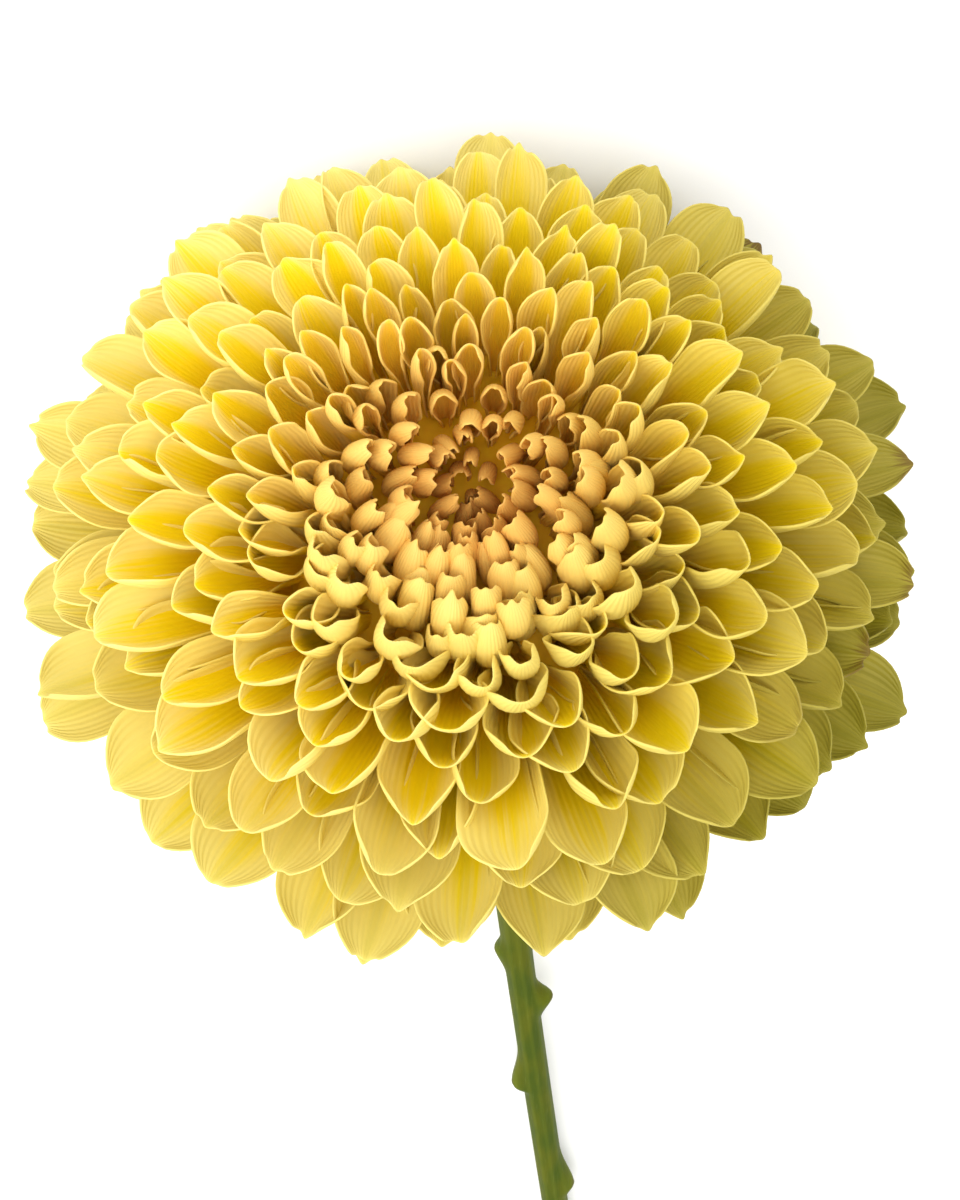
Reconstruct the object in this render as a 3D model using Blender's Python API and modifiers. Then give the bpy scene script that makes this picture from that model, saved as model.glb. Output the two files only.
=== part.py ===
"""A cut chrysanthemum with a large yellow double head, lying on a surface.

The head is a dome of ray florets that grow from one small receptacle. It leans on the petals of its
rim with its face turned up, and the stem bends out of the back of the head and comes down to its cut
end behind it.
Metres, +Z up. The origin is on the surface, below the middle of the whole flower.
"""

import math
import random

import bmesh
import bpy
from mathutils import Matrix, Vector

# The head: it looks up by this many degrees, and its receptacle lies this high above the surface
FACE_TILT = 45.0
HEAD_HEIGHT = 0.0295

# The florets, one every golden angle round the head, from the dimple (0 degrees off the axis) to the rim
FLORETS = 146
GOLDEN_ANGLE = 137.508
RIM_ANGLE = 92.0
BLADE = 0.0006
SEED = 5
MIDRIB_STEPS = 40
# A midrib starts this much further round than its tip and this far out in the receptacle, and runs
# this straight
ROOT_SPREAD = 1.1
ROOT_PLACE = 0.8
MIDRIB_PULL = 0.9
# The width along a floret, as (share of its length, share of its width); the first share of each is its neck
LONG_ROWS = ((0.40, 0.66), (0.74, 1.0), (0.92, 0.76), (1.0, 0.36))
SHORT_ROWS = ((0.52, 1.0), (0.84, 0.84), (1.0, 0.42))
SHORT_FLORET = 0.034
POINTED = 0.22

# How each measure changes from the dimple to the rim: pairs of degrees off the axis and the value there
REACH = (
    (0, 0.027), (8, 0.034), (15, 0.0385), (30, 0.0425),
    (50, 0.0475), (68, 0.053), (84, 0.0558), (92, 0.0555),
)
WIDTH = ((0, 0.0046), (15, 0.0060), (30, 0.0080), (50, 0.0098), (92, 0.0124))
TIP_TURN = ((0, -12), (12, -2), (30, 17), (45, 42), (60, 66), (92, 98))
ROOT_TURN = ((0, 0), (30, 42), (60, 70), (84, 92), (92, 97))
FOLD = ((0, 75), (30, 62), (50, 50), (84, 30), (92, 26))
HOOK = ((0, 0.5), (30, 0.9), (50, 0.35), (92, 0.0))
NECK = ((0, 0.6), (36, 0.6), (50, 0.3), (92, 0.22))
OVAL = 0.045

# The receptacle, and the heart of the head that the inner florets are packed into
RECEPTACLE = {"radius": 0.0088, "half_height": 0.0058, "place": -0.0004}
HEART = {"radius": 0.0266, "half_height": 0.0130, "place": 0.0148}
ROOT_DEPTH = 0.0022

# The involucre: a turned cup (outer profile as radius and height, foot to rim) with two rows of bracts on it
CUP_PROFILE = ((0.0031, -0.0100), (0.0058, -0.0088), (0.0082, -0.0064), (0.0095, -0.0036), (0.0099, -0.0018))
# The inside of the cup follows the receptacle, this many degrees up from its foot
INNER_SPREAD = 78
INNER_STEPS = 6
BRACT_ROWS = (
    (13, ((0.0052, -0.0084), (0.0084, -0.0072), (0.0101, -0.0044))),
    (15, ((0.0080, -0.0053), (0.0103, -0.0038), (0.0126, -0.0026))),
)
BRACT_WIDTH = 0.0034
BRACT_BLADE = 0.0007
BRACT_SHARES = (0.8, 1.0, 0.35)

# The stem, from the neck behind the head to the cut end on the surface
STEM_RADII = ((0.0, 0.0031), (0.45, 0.0028), (0.85, 0.00235), (1.0, 0.0022))
STEM_END = (-0.0162, 0.150)
NECK_BEND = 0.018
END_SLOPE = 2.5
# How far back from the cut end the stem still runs level, as shares of the end's place across and along
LEVEL_ACROSS = 0.6
LEVEL_ALONG = 0.45
# What is left of the leaf stalks: share of the stem's length, side (+1 or -1 along X), how far it stands out
STUBS = ((0.620, 1, 0.0014), (0.682, -1, 0.0024), (0.775, 1, 0.0020), (0.893, -1, 0.0016))

# A stub's radii at its foot and its tip, as shares of the stem's, and how far it leans towards the head
STUB_RADII = (0.8, 0.34)
STUB_LEAN = 0.35

GAP = 0.0003
SNAP = 0.00006


def clear_scene():
    for item in list(bpy.data.objects):
        bpy.data.objects.remove(item, do_unlink=True)


def new_collection(name):
    collection = bpy.data.collections.new(name)
    bpy.context.scene.collection.children.link(collection)
    return collection


def material(name, colour, roughness):
    made = bpy.data.materials.new(name)
    made.use_nodes = True
    shader = made.node_tree.nodes["Principled BSDF"]
    shader.inputs["Base Color"].default_value = (*colour, 1.0)
    shader.inputs["Roughness"].default_value = roughness
    shader.inputs["Metallic"].default_value = 0.0
    made.diffuse_color = (*colour, 1.0)
    return made


def read(pairs, at):
    """The value of a measure at a place, on the straight line between the pairs on both sides of it."""
    for (x0, y0), (x1, y1) in zip(pairs, pairs[1:]):
        if at <= x1:
            share = (at - x0) / (x1 - x0)
            return y0 + (y1 - y0) * share
    return pairs[-1][1]


def head_matrix():
    """From the head's own frame (+Z out of its face) to the flower's."""
    lean = math.radians(FACE_TILT)
    out = Vector((0.0, -math.cos(lean), math.sin(lean)))
    across = Vector((1.0, 0.0, 0.0))
    turn = Matrix((across, out.cross(across), out)).transposed()
    return Matrix.Translation((0.0, 0.0, HEAD_HEIGHT)) @ turn.to_4x4()


def polar_angles(count, steps=400):
    """How far off the axis each floret's tip stands, so that every floret has room for its own width."""
    room = [0.0]
    angles = [RIM_ANGLE * k / steps for k in range(steps + 1)]
    for angle in angles[1:]:
        reach = read(REACH, angle)
        room.append(room[-1] + reach * reach * math.sin(math.radians(angle)) / read(WIDTH, angle) ** 2)
    found = []
    step = 0
    for k in range(count):
        wanted = room[-1] * (k + 0.5) / count
        while room[step] < wanted:
            step += 1
        found.append(angles[step])
    return found


def midline(angle, reach, tip_turn, root_turn):
    """Points of a floret's midrib as (out from the axis, along the axis, turn in degrees), root to tip."""
    root_angle = math.radians(angle * ROOT_SPREAD)
    root_out = RECEPTACLE["radius"] * ROOT_PLACE * math.sin(root_angle)
    root = Vector((root_out, RECEPTACLE["half_height"] * math.cos(root_angle)))
    tip_angle = math.radians(angle)
    tip = Vector((reach * math.sin(tip_angle), reach * math.cos(tip_angle)))
    pull = (tip - root).length * MIDRIB_PULL
    leave = Vector((math.sin(math.radians(root_turn)), math.cos(math.radians(root_turn)))) * pull
    arrive = Vector((math.sin(math.radians(tip_turn)), math.cos(math.radians(tip_turn)))) * pull
    points = []
    for k in range(MIDRIB_STEPS + 1):
        s = k / MIDRIB_STEPS
        place = root * (2 * s**3 - 3 * s**2 + 1) + leave * (s**3 - 2 * s**2 + s)
        place += tip * (3 * s**2 - 2 * s**3) + arrive * (s**3 - s**2)
        slope = root * (6 * s**2 - 6 * s) + leave * (3 * s**2 - 4 * s + 1)
        slope += tip * (6 * s - 6 * s**2) + arrive * (3 * s**2 - 2 * s)
        points.append((place.x, place.y, math.atan2(slope.x, slope.y)))
    return points


def inside(body, out, along, margin):
    """Whether a point of the half plane lies deeper than margin inside the receptacle or the heart."""
    wide = (out / (body["radius"] - margin)) ** 2
    return wide + ((along - body["place"]) / (body["half_height"] - margin)) ** 2 < 1.0


def first_step(points):
    """The last point of the midrib that is still well inside the body it grows from."""
    deep = [k for k, (out, along, _) in enumerate(points)
            if inside(HEART, out, along, ROOT_DEPTH) or inside(RECEPTACLE, out, along, ROOT_DEPTH)]
    return deep[-1] if deep else 0


def floret(name, index, angle, chance, to_flower, collection):
    """One blade: a small grid laid along its midrib, cupped towards the head's axis and thickened."""
    turn = math.radians(index * GOLDEN_ANGLE + chance.uniform(-4, 4))
    reach = read(REACH, angle) * chance.uniform(0.975, 1.025) * (1 - OVAL * math.sin(turn) ** 2)
    tip_turn = read(TIP_TURN, angle) + chance.uniform(-6, 6)
    root_turn = read(ROOT_TURN, angle) + chance.uniform(-3, 3)
    points = midline(angle + chance.uniform(-1.0, 1.0), reach, tip_turn, root_turn)
    start = first_step(points)
    shown = reach - math.hypot(points[start][0], points[start][1])
    half = read(WIDTH, angle) * chance.uniform(0.93, 1.05) / 2
    fold = math.radians(read(FOLD, angle))
    roll = math.radians(chance.uniform(-10, 10))
    rows = ((0.0, read(NECK, angle)), *(SHORT_ROWS if shown < SHORT_FLORET else LONG_ROWS))

    grid = bmesh.new()
    bmesh.ops.create_grid(grid, x_segments=2, y_segments=len(rows) - 1, size=1.0)
    around = Matrix.Rotation(turn, 3, "Z")
    for vertex in grid.verts:
        side = round(vertex.co.x)
        share, wide = rows[round((vertex.co.y + 1) / 2 * (len(rows) - 1))]
        out, along, slope = points[start + round(share * (MIDRIB_STEPS - start))]
        forward = Vector((math.sin(slope), 0.0, math.cos(slope)))
        face = Matrix.Rotation(roll * share, 3, forward) @ Vector((-math.cos(slope), 0.0, math.sin(slope)))
        lateral = face.cross(forward)
        arc = half * wide * math.sin(fold) / fold
        rise = half * wide * (1 - math.cos(fold)) / fold
        place = Vector((out, 0.0, along)) + lateral * (side * arc) + face * (abs(side) * rise)
        if share == 1.0:
            place += face * half * read(HOOK, angle) + forward * half * (POINTED if side == 0 else 0.0)
        vertex.co = to_flower @ (around @ place)
        vertex.co.z = max(vertex.co.z, BLADE / 2)
    bmesh.ops.triangulate(grid, faces=grid.faces)
    mesh = bpy.data.meshes.new(name)
    grid.to_mesh(mesh)
    grid.free()
    blade = bpy.data.objects.new(name, mesh)
    collection.objects.link(blade)
    shell = blade.modifiers.new("blade", "SOLIDIFY")
    shell.thickness = BLADE
    shell.offset = 0.0
    return blade


def ellipsoid(name, body, to_flower, collection, segments=20, rings=9):
    ball = bmesh.new()
    bmesh.ops.create_uvsphere(ball, u_segments=segments, v_segments=rings, radius=1.0)
    shape = Matrix.Translation((0, 0, body["place"])) @ Matrix.Diagonal(
        (body["radius"], body["radius"], body["half_height"], 1.0)
    )
    bmesh.ops.transform(ball, matrix=to_flower @ shape, verts=ball.verts)
    mesh = bpy.data.meshes.new(name)
    ball.to_mesh(mesh)
    ball.free()
    made = bpy.data.objects.new(name, mesh)
    collection.objects.link(made)
    return made


def join_all(base, pieces, solver):
    """Joins the collection of pieces to the base in one Boolean union and drops what is left of them."""
    union = base.modifiers.new("join", "BOOLEAN")
    union.operation = "UNION"
    union.operand_type = "COLLECTION"
    union.collection = pieces
    union.solver = solver
    depsgraph = bpy.context.evaluated_depsgraph_get()
    joined = bpy.data.meshes.new_from_object(base.evaluated_get(depsgraph))
    base.modifiers.remove(union)
    base.data = joined
    for piece in list(pieces.objects):
        bpy.data.objects.remove(piece, do_unlink=True)
    bpy.data.collections.remove(pieces)


def keep_largest(item):
    """Keeps the one outer skin: loose scraps and hollows sealed inside are dropped."""
    work = bmesh.new()
    work.from_mesh(item.data)
    left = set(work.verts)
    islands = []
    while left:
        island = []
        front = [left.pop()]
        while front:
            vertex = front.pop()
            island.append(vertex)
            for edge in vertex.link_edges:
                other = edge.other_vert(vertex)
                if other in left:
                    left.remove(other)
                    front.append(other)
        islands.append(island)
    islands.sort(key=len)
    for island in islands[:-1]:
        bmesh.ops.delete(work, geom=island, context="VERTS")
    work.to_mesh(item.data)
    work.free()


def make_bloom(parts, to_flower):
    bloom = ellipsoid("bloom", HEART, to_flower, parts)
    florets = new_collection("florets")
    ellipsoid("receptacle", RECEPTACLE, to_flower, florets, segments=16, rings=7)
    chance = random.Random(SEED)
    for index, angle in enumerate(polar_angles(FLORETS)):
        floret(f"floret_{index:03d}", index, angle, chance, to_flower, florets)
    join_all(bloom, florets, "MANIFOLD")
    keep_largest(bloom)
    bloom.data.materials.clear()
    bloom.data.materials.append(material("floret_yellow", (0.80, 0.62, 0.08), 0.55))
    return bloom


def make_involucre(parts, to_flower):
    """A cup turned round the head's axis, with rows of bracts that lie on its outside."""
    profile = bmesh.new()
    drop = RECEPTACLE["half_height"] + GAP
    inner = []
    for k in range(INNER_STEPS + 1):
        turn = math.radians(90 - INNER_SPREAD * k / INNER_STEPS)
        out = (RECEPTACLE["radius"] + GAP) * math.cos(turn)
        inner.append((out, RECEPTACLE["place"] - drop * math.sin(turn)))
    outline = [(0.0, CUP_PROFILE[0][1]), *CUP_PROFILE, *reversed(inner)]
    outline[-1] = (0.0, RECEPTACLE["place"] - drop)
    corners = [profile.verts.new((radius, 0.0, height)) for radius, height in reversed(outline)]
    for one, other in zip(corners, corners[1:]):
        profile.edges.new((one, other))
    mesh = bpy.data.meshes.new("involucre")
    profile.to_mesh(mesh)
    profile.free()
    cup = bpy.data.objects.new("involucre", mesh)
    parts.objects.link(cup)
    turned = cup.modifiers.new("turned", "SCREW")
    turned.steps = turned.render_steps = 24
    turned.use_merge_vertices = True
    turned.merge_threshold = 0.00001
    depsgraph = bpy.context.evaluated_depsgraph_get()
    cup.data = bpy.data.meshes.new_from_object(cup.evaluated_get(depsgraph))
    cup.modifiers.clear()
    cup.data.transform(to_flower)
    bracts = new_collection("bracts")
    for row, (count, places) in enumerate(BRACT_ROWS):
        for k in range(count):
            bract(f"bract_{row}_{k:02d}", 360 * (k + 0.5 * row) / count, places, to_flower, bracts)
    join_all(cup, bracts, "MANIFOLD")
    keep_largest(cup)
    cup.data.materials.clear()
    cup.data.materials.append(material("bract_green", (0.20, 0.26, 0.06), 0.6))
    return cup


def bract(name, turn, places, to_flower, collection):
    """One leafy scale: rooted in the cup's wall, it lies up along it, its narrow tip a little clear."""
    grid = bmesh.new()
    bmesh.ops.create_grid(grid, x_segments=2, y_segments=2, size=1.0)
    around = Matrix.Rotation(math.radians(turn), 3, "Z")
    for vertex in grid.verts:
        step = round(vertex.co.y) + 1
        radius, height = places[step]
        swing = round(vertex.co.x) * BRACT_SHARES[step] * BRACT_WIDTH / 2 / radius
        place = Vector((radius * math.cos(swing), radius * math.sin(swing), height))
        vertex.co = to_flower @ (around @ place)
    bmesh.ops.triangulate(grid, faces=grid.faces)
    mesh = bpy.data.meshes.new(name)
    grid.to_mesh(mesh)
    grid.free()
    scale = bpy.data.objects.new(name, mesh)
    collection.objects.link(scale)
    shell = scale.modifiers.new("blade", "SOLIDIFY")
    shell.thickness = BRACT_BLADE
    shell.offset = 0.0


def stem_point(to_flower, share):
    """The stem's centre line: out of the involucre along the head's axis, then level towards the cut end."""
    neck = to_flower @ Vector((0.0, 0.0, CUP_PROFILE[0][1] - GAP))
    leave = (to_flower.to_3x3() @ Vector((0.0, 0.0, -1.0))) * NECK_BEND
    end = Vector((STEM_END[0], STEM_END[1], read(STEM_RADII, 1.0)))
    slope = math.tan(math.radians(END_SLOPE))
    level = STEM_END[1] * LEVEL_ALONG
    back = Vector((-STEM_END[0] * LEVEL_ACROSS, -level, level * slope))
    rest = 1.0 - share
    place = neck * rest**3 + (neck + leave) * (3 * rest**2 * share)
    return place + (end + back) * (3 * rest * share**2) + end * share**3


def make_stem(parts, to_flower, points=22):
    line = bpy.data.curves.new("stem", "CURVE")
    line.dimensions = "3D"
    line.bevel_depth = 1.0
    line.bevel_resolution = 2
    line.use_fill_caps = True
    spline = line.splines.new("POLY")
    spline.points.add(points - 1)
    for k, point in enumerate(spline.points):
        share = k / (points - 1)
        point.co = (*stem_point(to_flower, share), 1.0)
        point.radius = read(STEM_RADII, share)
    tube = bpy.data.objects.new("stem_line", line)
    parts.objects.link(tube)
    depsgraph = bpy.context.evaluated_depsgraph_get()
    mesh = bpy.data.meshes.new_from_object(tube.evaluated_get(depsgraph))
    weld = bmesh.new()
    weld.from_mesh(mesh)
    bmesh.ops.remove_doubles(weld, verts=weld.verts, dist=0.00001)
    weld.to_mesh(mesh)
    weld.free()
    stem = bpy.data.objects.new("stem", mesh)
    stem.matrix_world = tube.matrix_world
    parts.objects.link(stem)
    bpy.data.objects.remove(tube, do_unlink=True)
    stubs = new_collection("stubs")
    for k, (share, side, stand) in enumerate(STUBS):
        stub(f"stub_{k}", share, side, stand, to_flower, stubs)
    join_all(stem, stubs, "EXACT")
    keep_largest(stem)
    stem.data.materials.clear()
    stem.data.materials.append(material("stem_green", (0.16, 0.19, 0.02), 0.5))
    return stem


def stub(name, share, side, stand, to_flower, collection):
    """A blunt cone out of the stem's side, leaning towards the head, as a leaf stalk leaves it."""
    middle = stem_point(to_flower, share)
    ahead = (stem_point(to_flower, share - 0.01) - middle).normalized()
    radius = read(STEM_RADII, share)
    out = (Vector((side, 0.0, 0.0)) + ahead * STUB_LEAN).normalized()
    depth = radius + stand
    cone = bmesh.new()
    foot, top = (radius * part for part in STUB_RADII)
    bmesh.ops.create_cone(cone, cap_ends=True, segments=8, radius1=foot, radius2=top, depth=depth)
    place = Matrix.Translation(middle + out * depth / 2) @ out.to_track_quat("Z", "Y").to_matrix().to_4x4()
    bmesh.ops.transform(cone, matrix=place, verts=cone.verts)
    mesh = bpy.data.meshes.new(name)
    cone.to_mesh(mesh)
    cone.free()
    collection.objects.link(bpy.data.objects.new(name, mesh))


def stand_on_origin(items):
    """Moves everything together so that the origin lies on the surface below the middle of the whole."""
    corners = [vertex.co for item in items for vertex in item.data.vertices]
    low = Vector([min(corner[k] for corner in corners) for k in range(3)])
    high = Vector([max(corner[k] for corner in corners) for k in range(3)])
    move = Matrix.Translation((-(low.x + high.x) / 2, -(low.y + high.y) / 2, -low.z))
    for item in items:
        item.data.transform(move)
    print("moved by", move.translation[:], "size", (high - low)[:])
    return move.translation


def smooth(item, angle):
    item.data.shade_smooth()
    item.data.set_sharp_from_angle(angle=math.radians(angle))


def main():
    clear_scene()
    parts = new_collection("pompon_chrysanthemum")
    to_flower = head_matrix()
    bloom = make_bloom(parts, to_flower)
    involucre = make_involucre(parts, to_flower)
    stem = make_stem(parts, to_flower)
    items = [bloom, involucre, stem]
    for item in items:
        for vertex in item.data.vertices:
            if vertex.co.z < SNAP:
                vertex.co.z = 0.0
        smooth(item, 40)
        print(item.name, "triangles", sum(len(face.vertices) - 2 for face in item.data.polygons))
    return stand_on_origin(items)


SHIFT = main()
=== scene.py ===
# A cut yellow chrysanthemum lying on a pale floor: the looks of every piece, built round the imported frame.
import math
import random

import bpy
import numpy as np
from mathutils import Matrix, Vector


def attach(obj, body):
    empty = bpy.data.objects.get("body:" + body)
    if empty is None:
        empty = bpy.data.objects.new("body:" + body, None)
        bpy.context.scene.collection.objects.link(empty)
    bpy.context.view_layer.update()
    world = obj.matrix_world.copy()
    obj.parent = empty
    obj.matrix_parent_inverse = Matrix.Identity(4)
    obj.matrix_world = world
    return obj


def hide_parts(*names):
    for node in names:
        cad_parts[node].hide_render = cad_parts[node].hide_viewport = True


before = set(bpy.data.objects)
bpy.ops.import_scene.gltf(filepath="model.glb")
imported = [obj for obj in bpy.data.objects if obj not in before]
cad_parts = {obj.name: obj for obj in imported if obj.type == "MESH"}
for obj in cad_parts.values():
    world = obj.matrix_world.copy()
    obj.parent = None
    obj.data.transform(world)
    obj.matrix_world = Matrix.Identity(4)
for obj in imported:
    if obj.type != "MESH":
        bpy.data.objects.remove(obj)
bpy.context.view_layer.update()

print("frame loaded:", ", ".join(sorted(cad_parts)))

# the head has a frame of its own: +Z out of its face, +X across, +Y towards its upper rim
head = {
    "centre": (-0.0002, -0.0506, 0.0295),  # where the petals grow from
    "lookUp": 45.0,  # degrees
    "goldenAngle": 137.508,  # degrees from one petal to the next
    "rimAngle": 92.0,  # degrees off the axis
}


def headMatrix():
    lean = math.radians(head["lookUp"])
    out = Vector((0.0, -math.cos(lean), math.sin(lean)))
    across = Vector((1.0, 0.0, 0.0))
    turn = Matrix((across, out.cross(across), out)).transposed()
    return Matrix.Translation(head["centre"]) @ turn.to_4x4()


toFlower = headMatrix()


def intoFlower(points):  # from the head's own frame to the flower's
    matrix = np.array(toFlower)
    return np.asarray(points) @ matrix[:3, :3].T + matrix[:3, 3]


# helpers for modelling
def nothingSelected():
    if bpy.context.object and bpy.context.object.mode != "OBJECT":
        bpy.ops.object.mode_set(mode="OBJECT")
    bpy.ops.object.select_all(action="DESELECT")


def choose(item):
    nothingSelected()
    item.select_set(True)
    bpy.context.view_layer.objects.active = item


def applyAll(item):
    choose(item)
    for modifier in list(item.modifiers):
        bpy.ops.object.modifier_apply(modifier=modifier.name)


def joinAll(items, name):
    choose(items[0])
    for item in items:
        item.select_set(True)
    bpy.ops.object.join()
    joined = bpy.context.object
    joined.name = joined.data.name = name
    return joined


def copyOf(item, name):
    made = bpy.data.objects.new(name, item.data.copy())
    bpy.context.scene.collection.objects.link(made)
    return made


def pointsOf(mesh):
    flat = np.empty(len(mesh.vertices) * 3)
    mesh.vertices.foreach_get("co", flat)
    return flat.reshape(-1, 3)


def setPoints(mesh, points):
    mesh.vertices.foreach_set("co", np.asarray(points, float).ravel())
    mesh.update()


def setAttribute(mesh, name, values):  # one value for each point, or one for all of them
    made = mesh.attributes.get(name) or mesh.attributes.new(name, "FLOAT", "POINT")
    made.data.foreach_set("value", np.broadcast_to(values, len(mesh.vertices)).astype(np.float32))


def gridOf(name, rows, columns):  # a flat grid, with the row and the column of each of its points
    nothingSelected()
    bpy.ops.mesh.primitive_grid_add(x_subdivisions=columns - 1, y_subdivisions=rows - 1, size=2.0)
    made = bpy.context.object
    made.name = made.data.name = name
    points = pointsOf(made.data)
    column = np.rint((points[:, 0] + 1) / 2 * (columns - 1)).astype(int)
    row = np.rint((points[:, 1] + 1) / 2 * (rows - 1)).astype(int)
    return made, row, column


def gridOver(name, places):  # a grid laid over rows of places
    made, row, column = gridOf(name, *places.shape[:2])
    setPoints(made.data, places[row, column])
    return made, row, column


def closeUp(item):  # merges the seam and the poles of a grid that is bent into a tube
    choose(item)
    bpy.ops.object.mode_set(mode="EDIT")
    bpy.ops.mesh.select_all(action="SELECT")
    bpy.ops.mesh.remove_doubles(threshold=0.000005)
    bpy.ops.mesh.normals_make_consistent(inside=False)
    bpy.ops.object.mode_set(mode="OBJECT")


def thicken(item, thickness):
    shell = item.modifiers.new("blade", "SOLIDIFY")
    shell.thickness = thickness
    shell.offset = 0.0
    applyAll(item)


def roundOff(item):
    rounding = item.modifiers.new("rounding", "SUBSURF")
    rounding.levels = rounding.render_levels = 1
    applyAll(item)


# shader nodes: values are written as sums, and everything else comes from Finish.node
def paint(red, green, blue):  # a colour as seen on a screen, 0 to 255
    parts = [part / 255 for part in (red, green, blue)]
    return tuple(part / 12.92 if part <= 0.04045 else ((part + 0.055) / 1.055) ** 2.4 for part in parts) + (1.0,)


class Amount:  # a number worked out by the nodes of a finish
    def __init__(self, finish, socket):
        self.finish = finish
        self.socket = socket

    def sum(self, operation, one, other):
        return self.finish.node("Math", {"operation": operation}, {0: one, 1: other})

    def __add__(self, other):
        return self.sum("ADD", self, other)

    def __radd__(self, other):
        return self.sum("ADD", other, self)

    def __sub__(self, other):
        return self.sum("SUBTRACT", self, other)

    def __rsub__(self, other):
        return self.sum("SUBTRACT", other, self)

    def __mul__(self, other):
        return self.sum("MULTIPLY", self, other)

    def __rmul__(self, other):
        return self.sum("MULTIPLY", other, self)

    def __pow__(self, other):
        return self.sum("POWER", self, other)

    def __abs__(self):
        return self.finish.node("Math", {"operation": "ABSOLUTE"}, {0: self})

    def rising(self, low, high):  # 0 below low, 1 above high, eased between
        settings = {"interpolation_type": "SMOOTHSTEP"}
        return self.finish.node("MapRange", settings, {"Value": self, "From Min": low, "From Max": high}, "Result")

    def falling(self, low, high):
        return 1 - self.rising(low, high)


class Finish:  # a material and its nodes
    def __init__(self, name):
        self.material = bpy.data.materials.new(name)
        self.material.use_nodes = True
        self.nodes = self.material.node_tree.nodes
        self.links = self.material.node_tree.links
        self.shader = self.nodes["Principled BSDF"]

    def node(self, kind, settings=None, sockets=None, output=0):
        made = self.nodes.new("ShaderNode" + kind)
        for name, value in (settings or {}).items():
            setattr(made, name, value)
        for name, value in (sockets or {}).items():
            self.feed(made.inputs[name], value)
        return Amount(self, made.outputs[output])

    def feed(self, socket, value):
        if isinstance(value, Amount):
            self.links.new(value.socket, socket)
        else:
            socket.default_value = value

    def attribute(self, name):
        return self.node("Attribute", {"attribute_name": name}, None, "Fac")

    def mixed(self, share, one, other, how="MIX"):  # colours
        settings = {"data_type": "RGBA", "blend_type": how}
        return self.node("Mix", settings, {0: share, 6: one, 7: other}, 2)

    def vector(self, x, y, z):
        return self.node("CombineXYZ", None, {"X": x, "Y": y, "Z": z})

    def coordinates(self):  # x, y and z on the flower
        where = self.node("TexCoord", None, None, "Object")
        return [self.node("SeparateXYZ", None, {0: where}, axis) for axis in "XYZ"]

    def noise(self, vector, scale, detail):
        return self.node("TexNoise", None, {"Vector": vector, "Scale": scale, "Detail": detail}, "Fac")

    def relief(self, height, strength, distance):
        return self.node("Bump", None, {"Strength": strength, "Distance": distance, "Height": height})

    def set(self, **values):
        for name, value in values.items():
            self.feed(self.shader.inputs[name.replace("_", " ")], value)


def finishPiece(piece, finish, node):
    piece.data.shade_smooth()
    piece.data.materials.clear()
    piece.data.materials.append(finish.material)
    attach(piece, "root")
    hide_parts(node)
    print(piece.name, sum(len(face.vertices) - 2 for face in piece.data.polygons), "triangles")


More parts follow.
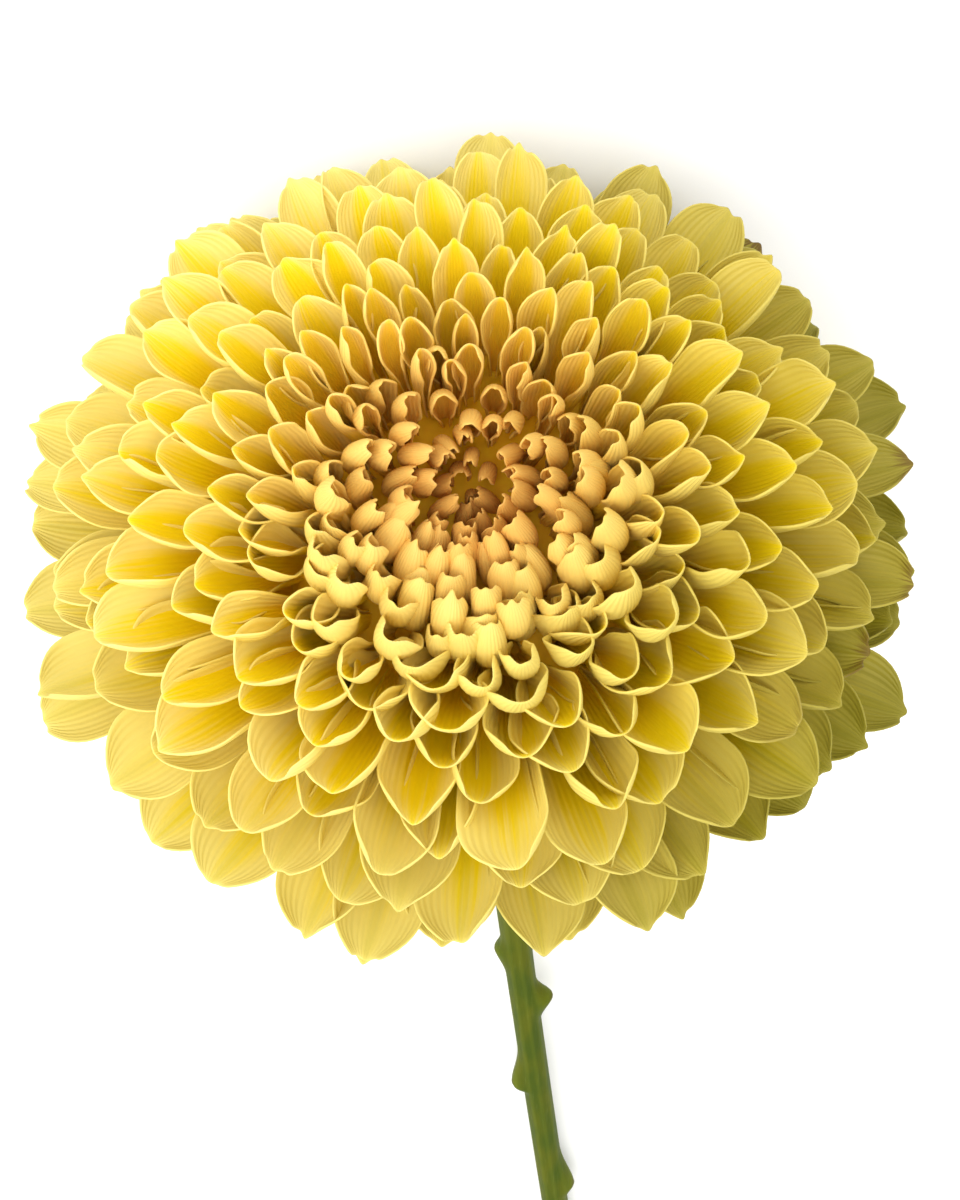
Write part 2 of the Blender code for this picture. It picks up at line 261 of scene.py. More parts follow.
# petals: each is a folded blade on a midrib that grows out of the heart
petal = {
    "seed": 5,
    "pieces": {"innerPetals": (0, 36), "middlePetals": (36, 64), "outerPetals": (64, 100)},  # degrees off the axis
    "thickness": 0.00032,
    "bodyRows": (0.0, 0.30, 0.58, 0.82, 1.0),  # along, up to where the tip turns in
    "endRows": (0.30, 0.58, 0.82, 1.0),  # along the turned tip
    "bodyShare": 0.88,  # of the length, for the colours
    "columns": (-1.0, -0.87, -0.62, -0.36, 0.0, 0.36, 0.62, 0.87, 1.0),  # floor, corner, wall and rolled lip
    "corner": 0.26,  # its width, as a share of the half width
    "lipWidth": 0.13,
    "leaning": (0.14, 0.60),  # how steep the floor and the corner are, as shares of the wall
    "closing": 0.12,  # how much steeper the walls stand at the root
    "wander": 0.31,  # how far a petal strays from its place, in spacings
    "tilt": 0.6,  # share of that by which it also leans out or in
    "oval": 0.045,  # how much shorter the petals of the upper and lower side are
    "nearReach": 0.02,  # how much longer the petals of the upper side are at the rim
    # each of these changes from the dimple to the rim: degrees off the axis, then the values there
    "reach": ((0, 8, 15, 30, 50, 68, 84, 92), (0.025, 0.0325, 0.0380, 0.0425, 0.0475, 0.053, 0.0558, 0.0555)),
    "spacing": ((0, 15, 35, 45, 55, 70, 92), (0.0034, 0.0036, 0.0045, 0.0055, 0.0066, 0.0081, 0.0092)),
    "width": ((0, 15, 28, 40, 55, 75, 92), (0.0056, 0.0072, 0.0090, 0.0112, 0.0128, 0.0136, 0.0134)),
    "floor": ((0, 40, 60, 92), (0.22, 0.24, 0.28, 0.34)),  # half the floor, as a share of the half width
    "lip": ((0, 28, 55, 92), (34, 36, 34, 26)),  # how far the margin rolls in past the wall, degrees
    "tipTurn": ((0, 12, 24, 34, 45, 60, 75, 92), (-12, 2, 18, 38, 56, 72, 84, 99)),  # way of the tip, degrees
    "rootTurn": ((0, 30, 60, 84, 92), (0, 42, 70, 92, 97)),
    "wall": ((0, 22, 35, 50, 70, 92), (116, 118, 102, 76, 56, 42)),  # how steeply the sides stand, degrees
    "tipWall": ((0, 28, 40, 55, 92), (0.62, 0.60, 0.60, 0.78, 0.95)),  # share of that left at the tip
    "curl": ((0, 12, 20, 28, 38, 55, 92), (20, 46, 62, 58, 44, 30, 14)),  # how far the tip turns in, degrees
    "endLength": ((0, 15, 28, 40, 55, 92), (0.0052, 0.0076, 0.0080, 0.0070, 0.0064, 0.0070)),
    "bendEarly": 1.25,  # the tip starts to turn so many end lengths before it ends
    "beak": ((0, 30, 50, 92), (0.0014, 0.0013, 0.0009, 0.0010)),  # how far the tip is drawn out to a point
    "farCurl": 0.06,  # how much less the tips turn in on the far side
    "nearWide": 0.14,  # the upper side of the head has the widest petals, the far side the narrowest
    "nearShift": 9,  # the upper side keeps its turned tips this many degrees further out
    "poleShift": (12, 70),  # the middle sits so many degrees towards that side, easing out by the second angle
    "teeth": 0.0004,
    "toothTurn": 5.5,  # radians from the middle of the tip to its side
    "rippleTurn": (6.28, 1.3),  # radians in a wave, and between the two sides
    "outlines": (  # width along the rows, as shares of the whole, near 20, 50 and 85 degrees
        (20, (0.62, 0.74, 0.90, 1.0, 1.0, 0.96, 0.86, 0.67, 0.30)),
        (50, (0.30, 0.46, 0.70, 0.93, 1.0, 0.98, 0.90, 0.72, 0.38)),
        (85, (0.26, 0.44, 0.70, 0.94, 1.0, 0.95, 0.83, 0.60, 0.26)),
    ),
    # what each petal draws: shares of its measures, or degrees, metres and radians
    "chances": {
        "stray": (-1, 1), "reach": (0.945, 1.045), "curl": (0.70, 1.20), "endLength": (0.85, 1.15),
        "tipTurn": (-5, 5), "rootTurn": (-3, 3), "width": (0.90, 1.08), "wall": (0.82, 1.14), "lip": (0.5, 1.3),
        "lean": (-0.22, 0.22), "roll": (-11, 11), "twist": (-13, 13), "swing": (-0.05, 0.05),
        "ripple": (0.0002, 0.0006), "phase": (0, 6.28), "waves": (2.0, 4.0), "teeth": (0.0, 1.0),
        "beak": (0.0, 1.4), "lobeTurn": (-2.6, 2.6),
    },
    "lowest": 0.0003,  # how near to the floor a petal comes
    "receptacle": (0.0088, 0.0058, 0.0),  # radius, half height and place of its middle
    "heart": (0.0266, 0.0130, 0.0148),
    "rooted": (0.003, 0.002),  # how deep inside the heart and the receptacle the petals start
    "rootSpread": (1.1, 0.8),  # where on the receptacle they leave it
    "pull": 0.9,  # how far the root and the tip hold the midrib's way
}


def measure(name, angle):
    return float(np.interp(angle, *petal[name]))


def wayAt(angle):  # a way in the plane of the midrib, so many radians off the axis
    return np.array((math.sin(angle), math.cos(angle)))


def tipAngles(steps=800):  # one petal for each patch as wide and as deep as the spacing there
    angles = np.linspace(0, head["rimAngle"], steps + 1)
    reach = np.interp(angles, *petal["reach"])
    spacing = np.interp(angles, *petal["spacing"])
    patches = 2 * np.pi * reach**2 * np.sin(np.radians(angles)) * math.radians(angles[1]) / spacing**2
    room = np.cumsum(patches)
    return np.interp(np.arange(int(room[-1])) + 0.5, room, angles)


def midribOf(angle, reach, tipTurn, rootTurn, steps=60):
    spread, outward = petal["rootSpread"]
    rootAngle = math.radians(angle * spread)
    radius, height = petal["receptacle"][:2]
    root = np.array((radius * outward * math.sin(rootAngle), height * math.cos(rootAngle)))
    tip = reach * wayAt(math.radians(angle))
    pull = petal["pull"] * np.linalg.norm(tip - root)
    leave = pull * wayAt(math.radians(rootTurn))
    arrive = pull * wayAt(math.radians(tipTurn))
    s = np.linspace(0, 1, steps + 1)[:, None]
    line = root * (2 * s**3 - 3 * s**2 + 1) + leave * (s**3 - 2 * s**2 + s)
    return line + tip * (3 * s**2 - 2 * s**3) + arrive * (s**3 - s**2)


def curlTip(line, curl, endLength):  # the last stretch is walked again, turning in as it goes
    step = np.diff(line, axis=0)
    size = np.linalg.norm(step, axis=1)
    length = np.concatenate(([0], np.cumsum(size)))
    turn = np.arctan2(step[:, 0], step[:, 1])
    turn = np.concatenate((turn[:1], (turn[1:] + turn[:-1]) / 2, turn[-1:]))
    bendFrom = length[-1] - endLength * petal["bendEarly"]
    bent = turn - math.radians(curl) * np.clip((length - bendFrom) / endLength, 0, 1)
    walked = line.copy()
    for k in range(1, len(line)):
        if length[k] > bendFrom:
            walked[k] = walked[k - 1] + size[k - 1] * wayAt((bent[k] + bent[k - 1]) / 2)
    return walked, bent, length


def insideBody(points, body, margin):
    radius, halfHeight, middle = body
    return (points[:, 0] / (radius - margin)) ** 2 + ((points[:, 1] - middle) / (halfHeight - margin)) ** 2 < 1


def turnedAbout(axis, points, angle):  # about the head's axis, 2, or from it towards the upper side, 0
    c, s = math.cos(angle), math.sin(angle)
    x, y, z = points.T
    if axis == 2:
        return np.column_stack((x * c - y * s, x * s + y * c, z))
    return np.column_stack((x, y * c + z * s, z * c - y * s))


def petalPoints(index, angle, chance):
    def draw(name):
        return chance.uniform(*petal["chances"][name])

    # where it stands, and its midrib
    stray = petal["wander"] * measure("spacing", angle) / measure("reach", angle)
    around = math.radians(index * head["goldenAngle"])
    around += draw("stray") * stray / max(0.1, math.sin(math.radians(angle)))
    age = angle / head["rimAngle"]
    near = math.sin(around)  # 1 on the upper side of the head, -1 on the side near the floor
    oval = 1 - petal["oval"] * near**2 + petal["nearReach"] * near * age
    reach = measure("reach", angle) * draw("reach") * oval
    young = max(0.0, angle - petal["nearShift"] * max(near, near / 3) * math.sin(math.radians(angle * 2)))
    curl = measure("curl", young) * draw("curl") * (1 - petal["farCurl"] * (1 - near))
    endLength = measure("endLength", young) * draw("endLength")
    line = midribOf(
        angle + math.degrees(draw("stray") * stray) * petal["tilt"], reach,
        measure("tipTurn", young) + draw("tipTurn"), measure("rootTurn", angle) + draw("rootTurn"),
    )
    points, turns, length = curlTip(line, curl, endLength)

    # its rows, from where it leaves the heart
    deep = insideBody(points, petal["heart"], petal["rooted"][0])
    deep |= insideBody(points, petal["receptacle"], petal["rooted"][1])
    start = length[int(np.nonzero(deep)[0][-1])] if deep.any() else 0
    bend = length[-1] - endLength
    body = start + np.array(petal["bodyRows"]) * (bend - start)
    at = np.concatenate((body, bend + np.array(petal["endRows"]) * endLength))
    share = (at - start) / (length[-1] - start)
    out = np.interp(at, length, points[:, 0])
    along = np.interp(at, length, points[:, 1])
    turn = np.interp(at, length, turns)
    degrees, widths = zip(*petal["outlines"])
    profile = [np.interp(angle, degrees, row) for row in zip(*widths)]

    # how it is folded and twisted
    halfWidth = measure("width", angle) / 2 * draw("width") * (1 + petal["nearWide"] * near)
    wall = math.radians(measure("wall", young)) * draw("wall")
    tipWall = measure("tipWall", young)
    lip = math.radians(measure("lip", young)) * draw("lip")
    lean = draw("lean")
    roll = math.radians(draw("roll"))
    twist = math.radians(draw("twist"))
    swing = draw("swing") * (length[-1] - start)
    ripple, phase, waves = draw("ripple"), draw("phase"), draw("waves")
    wave, between = petal["rippleTurn"]
    teeth = petal["teeth"] * draw("teeth")
    beak = measure("beak", angle) * draw("beak")
    lobeTurn = draw("lobeTurn")
    floor, corner, lipWidth = measure("floor", angle), petal["corner"], petal["lipWidth"]
    stretches = (floor, corner, 1 - lipWidth - floor - corner, lipWidth)
    bends = tuple(zip(stretches, petal["leaning"] + (1.0, 1.0), (0, 0, 0, 1)))
    columns = petal["columns"]

    made = np.empty((len(at), len(columns), 3))
    lastBody = len(petal["bodyRows"]) - 1
    for i in range(len(at)):
        forward = Vector((math.sin(turn[i]), 0.0, math.cos(turn[i])))
        turning = Matrix.Rotation(roll * share[i] + twist * share[i] ** 2, 3, forward)
        face = turning @ Vector((-math.cos(turn[i]), 0.0, math.sin(turn[i])))
        lateral = face.cross(forward)
        middle = Vector((out[i], 0.0, along[i])) + lateral * (swing * share[i] ** 2)
        inEnd = max(0, i - lastBody + 1) / (len(at) - lastBody)
        closing = (1.0 + petal["closing"] * (1 - share[i])) * (1 - (1 - tipWall) * inEnd)
        for j, t in enumerate(columns):
            right = t > 0
            steep = wall * closing * (1 + lean * (1 if right else -1))
            x = y = 0.0
            for stretch, leaning, rolled in bends[:abs(j - len(columns) // 2)]:
                slope = steep * leaning + lip * rolled * (1 - inEnd)
                x += stretch * halfWidth * profile[i] * math.cos(slope)
                y += stretch * halfWidth * profile[i] * math.sin(slope)
            y += ripple * t * t * math.sin(waves * share[i] * wave + phase + (between if right else 0))
            spot = middle + lateral * math.copysign(x, t) + face * y
            if i >= len(at) - 2:  # the last two rows
                bite = teeth * math.cos(t * petal["toothTurn"] + lobeTurn) + beak * (1 - abs(t)) ** 2
                spot += forward * bite * (1.0 if i == len(at) - 1 else 0.3)
            made[i, j] = spot

    # its place on the head
    most, until = petal["poleShift"]
    shift = math.radians(most) * (0.5 + 0.5 * math.cos(math.pi * min(1, angle / until)))
    placed = intoFlower(turnedAbout(0, turnedAbout(2, made.reshape(-1, 3), around), shift))
    placed[:, 2] = np.maximum(placed[:, 2], petal["lowest"])
    return placed, age


def petalBlank():
    body = petal["bodyShare"]
    rows = [body * row for row in petal["bodyRows"]] + [body + (1 - body) * row for row in petal["endRows"]]
    blank, row, column = gridOf("petalBlank", len(rows), len(petal["columns"]))
    setAttribute(blank.data, "across", np.array(petal["columns"])[column])
    setAttribute(blank.data, "along", np.array(rows)[row])
    return blank, row * len(petal["columns"]) + column


def petalPiece(name, blank, order, wanted, finish):
    chance = random.Random(petal["seed"])
    made = []
    for index, angle in enumerate(tipAngles()):
        placed, age = petalPoints(index, angle, chance)
        own = chance.random()
        if not wanted[0] <= angle < wanted[1]:
            continue
        item = copyOf(blank, f"petal{index:03d}")
        setPoints(item.data, placed[order])
        setAttribute(item.data, "age", age)
        setAttribute(item.data, "own", own)
        made.append(item)
    piece = joinAll(made, name)
    size = len(piece.data.vertices)
    thicken(piece, petal["thickness"])
    side = np.zeros(len(piece.data.vertices))
    side[:size] = 1.0  # the back of the petal
    setAttribute(piece.data, "side", side)
    roundOff(piece)
    print(name, len(made), "petals")
    finishPiece(piece, finish, "bloom")


# age runs from 0 in the dimple to 1 at the rim, across from -1 to 1, along from the root to the tip, and own is
# one draw for each petal; a pair says where a change starts and ends
petalLook = {
    "gold": paint(254, 226, 8),
    "deepGold": paint(255, 208, 2),
    "cream": paint(252, 233, 140),
    "rim": paint(244, 228, 140),
    "back": paint(245, 226, 128),
    "peach": paint(244, 184, 96),
    # painted shade, multiplied over the -X side where less light falls
    "paintedShade": (0.52, 0.50, 0.14, 1.0),  # multiplies
    # the dimple's reddish tint together with painted shade of the hollow
    "rustAndShade": paint(176, 84, 24),
    "green": paint(176, 172, 40),
    "olive": paint(128, 128, 14),
    "brown": paint(96, 58, 14),
    "grain": (9, 2.2, 50, 2.0),  # how fine across and along, how much it changes by petal, and its detail
    "streaks": (22, 1.6, 90, 1.0),
    "veins": (34, 2.0, 90, 1.0),
    "ridges": 46,
    "margin": (0.40, 0.74),
    "peachAge": (0.10, 0.54),
    "rustAndShadeAge": (0.03, 0.22),
    "oldAge": (0.62, 0.95),
    "shadedSide": (0.006, 0.046),  # metres towards -X
    "paintedShadeSide": (-0.020, 0.040),
    "burntShare": (0.90, 0.92),
}


def petalFinish():
    look = petalLook
    finish = Finish("petalFinish")
    across, along, age, own, side = (finish.attribute(name) for name in ("across", "along", "age", "own", "side"))
    x = finish.coordinates()[0]
    wall = abs(across)

    def grainOf(name, third):
        fine, long, change, detail = look[name]
        return finish.noise(finish.vector(across * fine + own * change, along * long, third), 1.0, detail)

    grain = grainOf("grain", own * 30)
    streaks = grainOf("streaks", own * 30)
    veins = grainOf("veins", side * 3.0)

    # the inside: a golden floor that fades in flames towards the tip and the sides
    paleFrom = 1.07 - age.rising(0.45, 1.0) * 0.27 - (own - 0.5) * 0.22 * age
    flame = along + (grain - 0.5) * 0.26 + (streaks - 0.5) * 0.16 + wall * 0.06
    inner = finish.mixed(along.rising(0.4, 0.9), look["deepGold"], look["gold"])
    inner = finish.mixed((flame - paleFrom).rising(-0.12, 0.12) * 0.85, inner, look["cream"])
    spread = (grain - 0.5) * 0.16 + (streaks - 0.5) * 0.12 + along**10 * 0.22 + age.rising(0.45, 0.95) * 0.16
    # painted shade: a mask over the -X side, where less light falls; it also narrows the pale margins there
    paintedShade = (0 - x + (own - 0.5) * 0.01).rising(*look["paintedShadeSide"])
    margin = (wall + spread).rising(*look["margin"]) * (0.9 - paintedShade * 0.35)
    inner = finish.mixed(margin, inner, look["cream"])
    back = finish.mixed((along + grain * 0.15).rising(0.64, 0.97), look["gold"], look["back"])
    skin = finish.mixed(side, inner, back)
    skin = finish.mixed(4 * side * (1 - side) * 0.12, skin, look["rim"])

    # the youngest are peach; deep in the dimple they darken to rust, partly their own reddish tint and partly
    # painted shade of the hollow
    skin = finish.mixed(age.falling(*look["peachAge"]) * 0.80, skin, look["peach"])
    # partly real reddish tint, partly painted shade deep in the dimple
    rustAndShadeShare = age.falling(*look["rustAndShadeAge"]) * (0.36 + along.falling(0.84, 0.98) * 0.6)
    skin = finish.mixed(rustAndShadeShare, skin, look["rustAndShade"])

    # the oldest have a greenish middle and tips; over the shaded -X side more green and olive is mixed in as
    # painted shade, and there a few tips are burnt
    shaded = (0 - x + (grain - 0.5) * 0.01).rising(*look["shadedSide"])
    old = age.rising(*look["oldAge"])
    middle = wall.falling(0.02, 0.16 + grain * 0.10) * along.rising(0.35, 0.75)
    skin = finish.mixed(middle * old * (0.22 + shaded * 0.35), skin, look["green"])
    skin = finish.mixed(old * (0.18 + shaded * 0.35), skin, look["green"])
    tip = (along + (streaks - 0.5) * 0.10).rising(0.80, 1.02)
    # olive tips of old petals, with more olive on the shaded side as painted shade
    skin = finish.mixed(tip * old * (0.15 + shaded * 0.65), skin, look["olive"])
    burnt = own.rising(*look["burntShare"]) * shaded.rising(0.5, 0.8) * old
    skin = finish.mixed(burnt * (along + (grain - 0.5) * 0.10).rising(0.975, 1.0), skin, look["brown"])

    # painted shade: the whole -X side is darkened and greened because less light falls there
    skin = finish.mixed(paintedShade * (0.24 + age.rising(0.25, 0.60) * 0.38), skin, look["paintedShade"], "MULTIPLY")

    # fine veins, and ridges along the blade
    skin = finish.mixed((veins - 0.5) * 0.16 + 0.06, skin, look["deepGold"])
    ridges = finish.node("Math", {"operation": "SINE"}, {0: across * look["ridges"]})
    relief = finish.relief(ridges, 0.25, 0.0002)
    finish.set(Base_Color=skin, Roughness=0.46 + streaks * 0.12, Normal=relief, Specular_IOR_Level=0.35)
    return finish


def makePetals():
    finish = petalFinish()
    blank, order = petalBlank()
    for name, wanted in petal["pieces"].items():
        petalPiece(name, blank, order, wanted, finish)
    bpy.data.objects.remove(blank)


makePetals()


# heart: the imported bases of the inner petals
heart = {
    "inset": 0.0027,  # how far it stays under the petals' roots
    "shift": 0.0015,  # towards the upper side
    "colours": (paint(240, 180, 8), paint(250, 208, 14)),
    "specks": 900.0,
}


def makeHeart():
    nothingSelected()
    bpy.ops.mesh.primitive_uv_sphere_add(segments=32, ring_count=16, radius=1.0)
    piece = bpy.context.object
    piece.name = piece.data.name = "heart"
    radius, half, middle = petal["heart"]
    inset = heart["inset"]
    size = (radius - inset, radius - inset, half - inset)
    setPoints(piece.data, intoFlower(pointsOf(piece.data) * size + (0, heart["shift"], middle)))
    finish = Finish("heartFinish")
    specks = finish.noise(finish.vector(*finish.coordinates()), heart["specks"], 3.0)
    finish.set(Base_Color=finish.mixed(specks, *heart["colours"]), Roughness=0.7)
    finishPiece(piece, finish, "bloom")


makeHeart()


# involucre: a turned cup with three rows of overlapping bracts
involucre = {
    "profile": ((0.0, -0.0100), (0.0031, -0.0100), (0.0044, -0.0095), (0.0058, -0.0088), (0.0072, -0.0077),
                (0.0082, -0.0064), (0.0090, -0.0050), (0.0095, -0.0036), (0.0099, -0.0018), (0.0095, -0.0016),
                (0.0088, -0.0030), (0.0068, -0.0052), (0.0036, -0.0066), (0.0, -0.0070)),
    "sides": 48,
    # how many bracts, then the foot, middle and tip of each as radius and height
    "rows": ((13, ((0.0052, -0.0084), (0.0083, -0.0071), (0.0101, -0.0044))),
             (14, ((0.0066, -0.0074), (0.0093, -0.0055), (0.0112, -0.0034))),
             (15, ((0.0080, -0.0053), (0.0103, -0.0038), (0.0126, -0.0026)))),
    "width": 0.0044,
    "shape": (0.62, 0.86, 1.0, 0.98, 0.80, 0.50, 0.12),  # width from the foot to the tip
    "columns": 7,
    "keel": (0.00025, 0.0002),  # how far the middle stands out, and the edges in
    "blade": 0.00035,
    "seed": 11,
    "chances": {"turn": (-0.08, 0.08), "length": (0.9, 1.1), "twist": (-0.10, 0.10)},
    "twistReach": 0.003,
    "greens": (paint(96, 112, 34), paint(134, 146, 56)),
    "midrib": paint(74, 92, 24),
    "edge": paint(206, 198, 132),
    "tip": paint(122, 84, 40),
    "fuzz": paint(196, 204, 160),
}


def bractFinish():
    finish = Finish("bractFinish")
    across, along, own = (finish.attribute(name) for name in ("across", "along", "own"))
    fuzz = finish.noise(finish.vector(*finish.coordinates()), 2600.0, 2.0)
    veins = finish.noise(finish.vector(across * 14 + own * 40, along * 1.5, own * 9), 1.0, 2.0)
    edge = abs(across)
    skin = finish.mixed(veins.rising(0.3, 0.7), *involucre["greens"])
    skin = finish.mixed(edge.falling(0.04, 0.20) * along.falling(0.7, 1.0) * 0.6, skin, involucre["midrib"])
    skin = finish.mixed((edge + along**4 * 0.5).rising(0.66, 0.98) * 0.85, skin, involucre["edge"])
    skin = finish.mixed((along + own * 0.1).rising(0.93, 1.05) * 0.7, skin, involucre["tip"])
    skin = finish.mixed(fuzz.rising(0.5, 0.9) * 0.25, skin, involucre["fuzz"])
    relief = finish.relief(veins + fuzz * 0.4, 0.4, 0.0003)
    finish.set(Base_Color=skin, Roughness=0.62 + fuzz * 0.16, Normal=relief)
    return finish


def makeCup(finish):
    turns = np.linspace(0, 2 * np.pi, involucre["sides"] + 1)
    rings = np.array([[(r * math.cos(a), r * math.sin(a), h) for a in turns] for r, h in involucre["profile"]])
    cup, row, column = gridOver("involucreCup", intoFlower(rings))
    setAttribute(cup.data, "across", 0.4)
    setAttribute(cup.data, "along", 0.3)
    setAttribute(cup.data, "own", 0.5)
    closeUp(cup)
    finishPiece(cup, finish, "involucre")


def makeBracts(finish):
    chance = random.Random(involucre["seed"])
    chances = involucre["chances"]
    made = []
    steps = len(involucre["shape"])
    columns = np.linspace(-1, 1, involucre["columns"])
    out, inward = involucre["keel"]
    for level, (count, path) in enumerate(involucre["rows"]):
        foot, middle, tip = (np.array(spot) for spot in path)
        for k in range(count):
            turn = 2 * math.pi * (k + 0.5 * level + chance.uniform(*chances["turn"])) / count
            stretch = chance.uniform(*chances["length"])
            twist = chance.uniform(*chances["twist"]) * involucre["twistReach"]
            spots = np.empty((steps, len(columns), 3))
            for i in range(steps):
                s = i / (steps - 1) * stretch
                radius, height = foot * (1 - s) ** 2 + (middle * 4 - foot - tip) * s * (1 - s) + tip * s**2
                half = involucre["width"] / 2 * involucre["shape"][i]
                for j, t in enumerate(columns):
                    around = turn + (t * half + twist * s) / radius
                    keel = radius + out * (1 - abs(t)) - inward * t * t
                    spots[i, j] = (keel * math.cos(around), keel * math.sin(around), height)
            bract, row, column = gridOver(f"bract{level}{k:02d}", intoFlower(spots))
            setAttribute(bract.data, "across", columns[column])
            setAttribute(bract.data, "along", row / (steps - 1))
            setAttribute(bract.data, "own", chance.random())
            made.append(bract)
    bracts = joinAll(made, "bracts")
    thicken(bracts, involucre["blade"])
    roundOff(bracts)
    finishPiece(bracts, finish, "involucre")


bractSkin = bractFinish()
makeCup(bractSkin)
makeBracts(bractSkin)


# stem: one tube, drawn out into the stubs of leaf stalks, with a slanting cut
stem = {
    "foot": -0.0094,  # where it leaves the involucre, along the head's axis
    "leave": 0.0189,  # how far it keeps the head's way there
    "back": (0.00972, -0.0675, 0.00295),  # the same from the cut end
    "end": (-0.0164, 0.0994, 0.0022),
    "radii": ((0, 0.42, 0.55, 0.7, 0.85, 1.0), (0.0031, 0.0027, 0.0024, 0.00225, 0.0022, 0.0022)),
    "rings": 420,
    "sides": 48,
    "footCap": (0, 0.6),  # the ends close to a middle point
    "cutCap": (0.93, 0.65, 0.35, 0),
    # share of the length, side (1 or -1 along X), how far it stands out, its reach towards the head and the end
    "stubs": ((0.620, 1, 0.0013, 0.0026, 0.0040), (0.682, -1, 0.0024, 0.0040, 0.0030),
              (0.775, 1, 0.0019, 0.0068, 0.0007), (0.893, -1, 0.0016, 0.0070, 0.0016)),
    "stubLean": 0.35,
    "ribs": 9,
    "ribDepth": 0.00006,
    "cutSlant": 0.35,
    "cutDip": 0.0006,
    "greens": (paint(60, 76, 0), paint(80, 86, 0)),
    "rib": paint(128, 136, 40),
    # painted sheen: a bluish light on the stem where the key light falls
    "bluishSheen": paint(84, 104, 66),
    "stub": paint(92, 104, 4),
    "scar": paint(78, 66, 8),
    "hair": paint(140, 150, 80),
    "flesh": (paint(150, 158, 70), paint(226, 222, 178)),
    "fibre": paint(168, 150, 84),
}


def stemPath(shares):
    s = np.asarray(shares)[:, None]
    foot = np.array(toFlower @ Vector((0, 0, stem["foot"])))
    leave = foot + np.array(toFlower.to_3x3() @ Vector((0, 0, -stem["leave"])))
    end = np.array(stem["end"])
    back = end + np.array(stem["back"])
    return foot * (1 - s) ** 3 + leave * 3 * s * (1 - s) ** 2 + back * 3 * s**2 * (1 - s) + end * s**3


def stemFinish():
    finish = Finish("stemFinish")
    along, rib, stub, cut = (finish.attribute(name) for name in ("along", "rib", "stub", "cut"))
    x, y, z = finish.coordinates()
    blotches = finish.noise(finish.vector(x, y * 0.4, z), 260.0, 3.0)
    hairs = finish.noise(finish.vector(x, y * 0.12, z), 2400.0, 2.0)
    skin = finish.mixed(blotches.rising(0.35, 0.65), *stem["greens"])
    skin = finish.mixed(rib.rising(0.3, 1.0) * 0.10, skin, stem["rib"])
    # painted sheen: bluish, stronger on the +X side of the stem where the key light falls, and towards its head
    # end
    bloom = (blotches * 0.4 + along.falling(0.55, 0.80) + x * 60).rising(0.65, 1.3)
    skin = finish.mixed(bloom * 0.24, skin, stem["bluishSheen"])
    skin = finish.mixed(stub.rising(0.25, 1.0) * 0.7, skin, stem["stub"])
    skin = finish.mixed(stub.rising(0.72, 1.0) * 0.6, skin, stem["scar"])
    skin = finish.mixed(hairs.rising(0.55, 0.8) * 0.08, skin, stem["hair"])
    flesh = finish.mixed(cut.rising(0.45, 0.75), *stem["flesh"])
    flesh = finish.mixed(hairs.rising(0.4, 0.7) * 0.3, flesh, stem["fibre"])
    skin = finish.mixed(cut.rising(0.02, 0.06), skin, flesh)
    relief = finish.relief(hairs + blotches * 0.5, 0.3, 0.0003)
    finish.set(Base_Color=skin, Roughness=0.48 + blotches * 0.16, Normal=relief, Specular_IOR_Level=0.14)
    return finish


def makeStem():
    rings, sides = stem["rings"], stem["sides"]
    footCap, cutCap = stem["footCap"], stem["cutCap"]
    shares = np.concatenate((np.zeros(len(footCap)), np.linspace(0, 1, rings), np.ones(len(cutCap))))
    shrink = np.concatenate((footCap, np.ones(rings), cutCap))
    middle = stemPath(shares)
    ahead = stemPath(np.clip(shares + 0.002, 0, 1)) - stemPath(np.clip(shares - 0.002, 0, 1))
    ahead /= np.linalg.norm(ahead, axis=1)[:, None]
    across = np.cross((0, 0, 1), ahead)
    across /= np.linalg.norm(across, axis=1)[:, None]
    up = np.cross(ahead, across)
    length = np.linalg.norm(np.diff(stemPath(np.linspace(0, 1, 400)), axis=0), axis=1).sum()
    turns = np.linspace(0, 2 * np.pi, sides + 1)
    radius = np.interp(shares, *stem["radii"])
    spots = np.empty((len(shares), sides + 1, 3))
    ribs = np.empty((len(shares), sides + 1))
    stubs = np.zeros((len(shares), sides + 1))
    cutRings = slice(rings + 1, None)
    for j, turn in enumerate(turns):
        outward = across * math.cos(turn) + up * math.sin(turn)
        ribs[:, j] = 0.5 + 0.5 * math.cos(stem["ribs"] * turn)
        grown = radius + stem["ribDepth"] * (ribs[:, j] - 0.5)
        lift = np.zeros((len(shares), 3))
        for share, side, stand, toHead, toEnd in stem["stubs"]:
            off = (share - shares) * length
            part = np.clip(np.where(off > 0, off / toHead, -off / toEnd), 0, 1)
            facing = np.maximum(0, outward[:, 0] * side) ** 3
            rise = (0.5 + 0.5 * np.cos(np.pi * part**0.8)) * facing
            stubs[:, j] = np.maximum(stubs[:, j], rise)
            grown = grown + stand * rise
            lift -= ahead * (rise * stand * stem["stubLean"])[:, None]
        grown = grown * shrink
        spots[:, j] = middle + outward * grown[:, None] + lift * shrink[:, None]
        slant = stem["cutSlant"] * grown[cutRings] * math.sin(turn) - stem["cutDip"]
        spots[cutRings, j] += ahead[cutRings] * slant[:, None]
    spots[:, -1] = spots[:, 0]
    spots[..., 2] = np.maximum(spots[..., 2], 0.0)
    piece, row, column = gridOver("stemTube", spots)
    cut = np.where(np.arange(len(shares)) > rings + 1, 1 - shrink, 0)
    setAttribute(piece.data, "along", shares[row])
    setAttribute(piece.data, "rib", ribs[row, column])
    setAttribute(piece.data, "stub", stubs[row, column])
    setAttribute(piece.data, "cut", cut[row])
    closeUp(piece)
    finishPiece(piece, stemFinish(), "stem")


makeStem()

# floor, light and camera
stage = {
    "size": 6.0,
    "floor": (paint(250, 250, 249), paint(253, 253, 253)),
    "world": 1.24,
    "aim": (0, -0.05, 0.03),
    "lights": {"keyLight": ((0.95, 0.0, 0.85), 5.4), "fillLight": ((0.1, -0.12, 1.2), 4.5)},  # place and power
    "lightSize": 1.0,
}


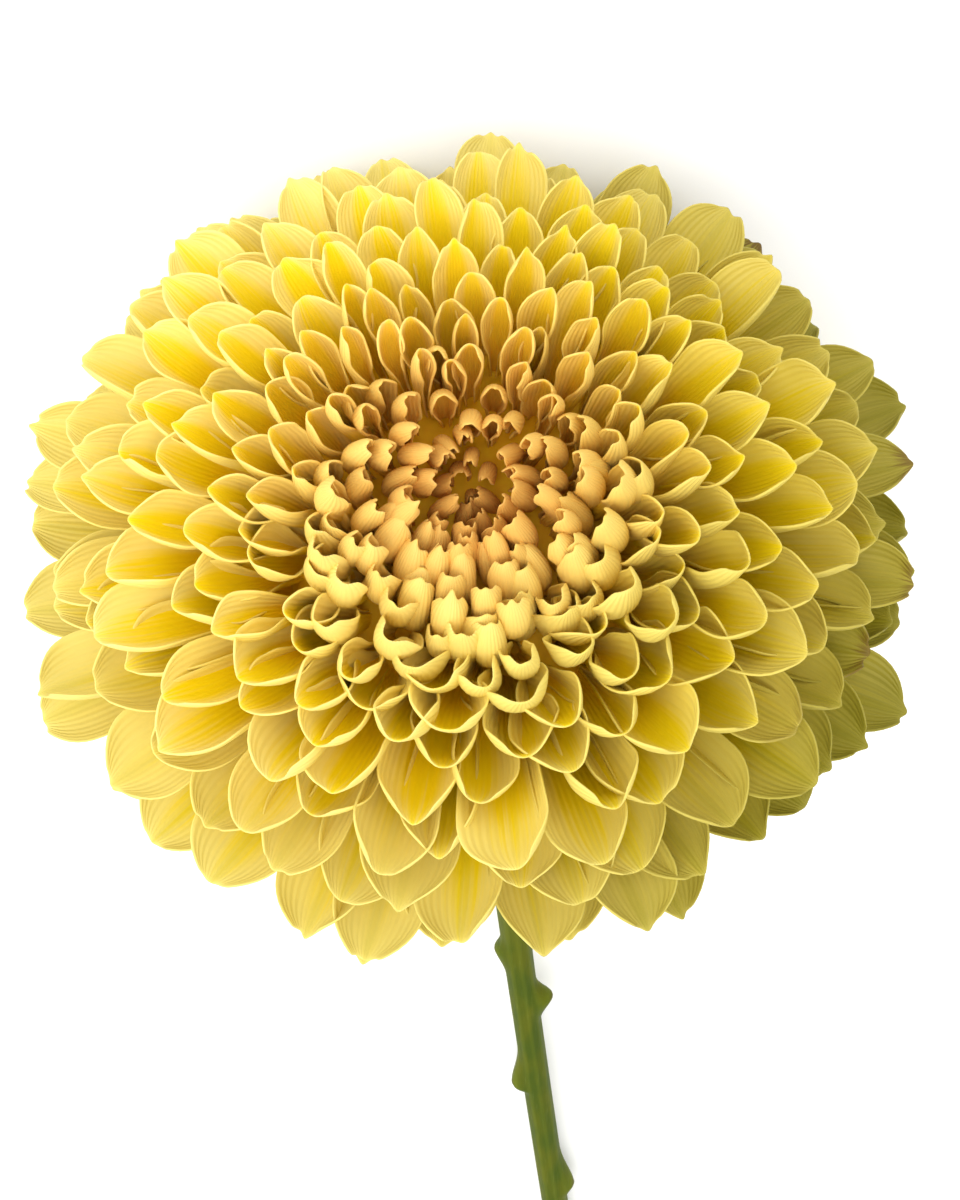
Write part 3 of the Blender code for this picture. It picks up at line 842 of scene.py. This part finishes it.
def makeFloor():
    nothingSelected()
    bpy.ops.mesh.primitive_plane_add(size=stage["size"], location=(0, 0, 0))
    floor = bpy.context.object
    floor.name = "floor"
    finish = Finish("floorFinish")
    grain = finish.noise(finish.vector(*finish.coordinates()), 40.0, 4.0)
    finish.set(Base_Color=finish.mixed(grain, *stage["floor"]), Roughness=0.85 + grain * 0.1)
    floor.data.materials.append(finish.material)


def makeLights():
    for name, (place, power) in stage["lights"].items():
        light = bpy.data.lights.new(name, "AREA")
        light.size = stage["lightSize"]
        light.energy = power
        item = bpy.data.objects.new(name, light)
        bpy.context.scene.collection.objects.link(item)
        item.location = place
        item.rotation_euler = (Vector(stage["aim"]) - Vector(place)).to_track_quat("-Z", "Y").to_euler()
    world = bpy.data.worlds.new("softRoom")
    bpy.context.scene.world = world
    world.use_nodes = True
    background = world.node_tree.nodes["Background"]
    background.inputs["Color"].default_value = (1, 1, 1, 1)
    background.inputs["Strength"].default_value = stage["world"]
    bpy.context.scene.view_settings.view_transform = "Standard"


# the camera looks down on the head with the stem at the foot of the picture
view = {
    "height": 65.5,  # degrees above the floor
    "distance": 0.24,
    "lens": 56.2,
    "picture": (960, 1200),
    "centreAt": (473, 547),  # where the head's centre stands in it
    "pixelsPerMetre": 7800,
}


def makeCamera():
    high = math.radians(view["height"])
    back = Vector((0.0, -math.cos(high), math.sin(high)))
    up = Vector((0.0, -math.sin(high), -math.cos(high)))
    right = Vector((-1.0, 0.0, 0.0))
    (width, height), (x, y) = view["picture"], view["centreAt"]
    aim = Vector(head["centre"]) + right * ((width / 2 - x) / view["pixelsPerMetre"])
    aim -= up * ((height / 2 - y) / view["pixelsPerMetre"])
    data = bpy.data.cameras.new("camera")
    data.lens = view["lens"]
    data.sensor_width = 36
    data.clip_start = 0.01
    camera = bpy.data.objects.new("camera", data)
    bpy.context.scene.collection.objects.link(camera)
    turn = Matrix((right, up, back)).transposed().to_4x4()
    camera.matrix_world = Matrix.Translation(aim + back * view["distance"]) @ turn
    bpy.context.scene.camera = camera


makeFloor()
makeLights()
makeCamera()
print("floor, lights and camera are in place")
